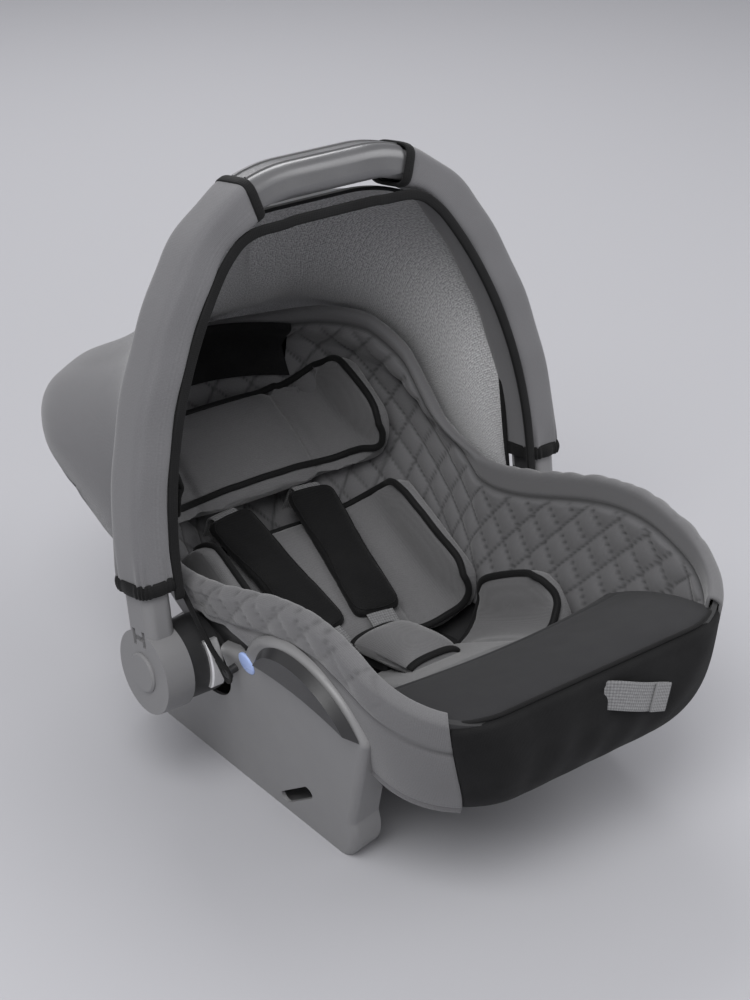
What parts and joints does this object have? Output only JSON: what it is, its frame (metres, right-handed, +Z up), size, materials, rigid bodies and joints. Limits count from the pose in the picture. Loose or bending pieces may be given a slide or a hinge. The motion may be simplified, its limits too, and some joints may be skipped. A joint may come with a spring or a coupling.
{
  "type": "infant car seat",
  "caption": "Rear-facing infant carrier seat: padded bucket on side rails, swinging carry handle with cloth canopy, inserts and a three-point harness.",
  "frame": {"origin": "on the floor below the handle's pivot axis, midway between the foot end and the head end", "axes": "+X to the right as seen from the foot end, -Y towards the foot end, +Y towards the head end, +Z up"},
  "size_m": [0.4436, 0.6057, 0.5013],
  "materials": {
    "shell_plastic": "satin moulded",
    "dark_plastic": "fine grain",
    "blue_plastic": "glossy",
    "handle_plastic": "satin moulded",
    "silver_plastic": "silver lacquer",
    "grey_cloth": "smooth knit",
    "charcoal_cloth": "smooth knit",
    "black_cloth": "smooth knit",
    "webbing": "flat woven webbing",
    "steel": "plated",
    "lock_plastic": "natural acetal",
    "red_plastic": "glossy",
    "lever_metal": "black coated"
  },
  "bodies": {
    "seat": {"adjuster_body": "dark_plastic", "adjuster_strap": "webbing", "back_panel": "black_cloth", "body_cushion": "grey_cloth", "buckle_body": "dark_plastic", "crotch_anchor": "steel", "crotch_pad": "grey_cloth", "crotch_strap": "webbing", "front_apron_lower": "black_cloth", "front_apron_upper": "charcoal_cloth", "harness_yoke": "steel", "head_cushion": "grey_cloth", "left_base_rail": "shell_plastic", "left_belt_guide": "dark_plastic", "left_belt_marker": "blue_plastic", "left_canopy_peg": "dark_plastic", "left_lock_ring": "lock_plastic", "left_pivot_pin": "steel", "left_shoulder_pad": "black_cloth", "left_shoulder_strap": "webbing", "left_tongue": "steel", "right_base_rail": "shell_plastic", "right_belt_guide": "dark_plastic", "right_belt_marker": "blue_plastic", "right_canopy_peg": "dark_plastic", "right_lock_ring": "lock_plastic", "right_pivot_pin": "steel", "right_shoulder_pad": "black_cloth", "right_shoulder_strap": "webbing", "right_tongue": "steel", "seat_cover": "grey_cloth", "seat_cushion": "grey_cloth", "seat_shell": "shell_plastic"},
    "handle": {"handle_outer": "handle_plastic", "handle_inner_cover": "dark_plastic", "grip_cover": "silver_plastic", "canopy": "grey_cloth", "left_canopy_sleeve": "grey_cloth", "right_canopy_sleeve": "grey_cloth", "left_sleeve_band": "black_cloth", "right_sleeve_band": "black_cloth", "left_hub_drum": "dark_plastic", "right_hub_drum": "dark_plastic", "left_hub_cap": "handle_plastic", "right_hub_cap": "handle_plastic", "left_button_spring": "steel", "right_button_spring": "steel", "left_lock_spring": "steel", "right_lock_spring": "steel"},
    "left_button": {"left_release_button": "silver_plastic"},
    "left_lock": {"left_lock_gear": "lock_plastic"},
    "right_button": {"right_release_button": "silver_plastic"},
    "right_lock": {"right_lock_gear": "lock_plastic"},
    "harness_button": {"buckle_button": "red_plastic"},
    "strap_lever": {"adjuster_lever": "lever_metal"}
  },
  "joints": [
    {"name": "handle_swing", "type": "hinge", "parent": "seat", "child": "handle", "pos_m": [0, 0, 0.125], "axis": [1, 0, 0], "range_deg": [-95, 0], "deforming": ["canopy"]},
    {"name": "left_button_press", "type": "slide", "parent": "handle", "child": "left_button", "axis": [0, 0.9848, -0.1736], "range_m": [0, 0.003], "stiffness_N_per_m": 900, "deforming": ["left_button_spring"]},
    {"name": "left_lock_slide", "type": "slide", "parent": "handle", "child": "left_lock", "axis": [-1, 0, 0], "range_m": [0, 0.004], "deforming": ["left_lock_spring"]},
    {"name": "right_button_press", "type": "slide", "parent": "handle", "child": "right_button", "axis": [0, 0.9848, -0.1736], "range_m": [0, 0.003], "stiffness_N_per_m": 900, "deforming": ["right_button_spring"]},
    {"name": "right_lock_slide", "type": "slide", "parent": "handle", "child": "right_lock", "axis": [1, 0, 0], "range_m": [0, 0.004], "deforming": ["right_lock_spring"]},
    {"name": "buckle_press", "type": "slide", "parent": "seat", "child": "harness_button", "axis": [0, -0.1547, -0.988], "range_m": [0, 0.003], "stiffness_N_per_m": 1200},
    {"name": "adjuster_lift", "type": "hinge", "parent": "seat", "child": "strap_lever", "pos_m": [0, -0.2729, 0.1759], "axis": [1, 0, 0], "range_deg": [0, 4], "stiffness_Nm_per_rad": 0.4}
  ],
  "couplings": [
    {"joint": "left_lock_slide", "follows": "left_button_press", "ratio": 1.3333},
    {"joint": "right_lock_slide", "follows": "right_button_press", "ratio": 1.3333}
  ]
}
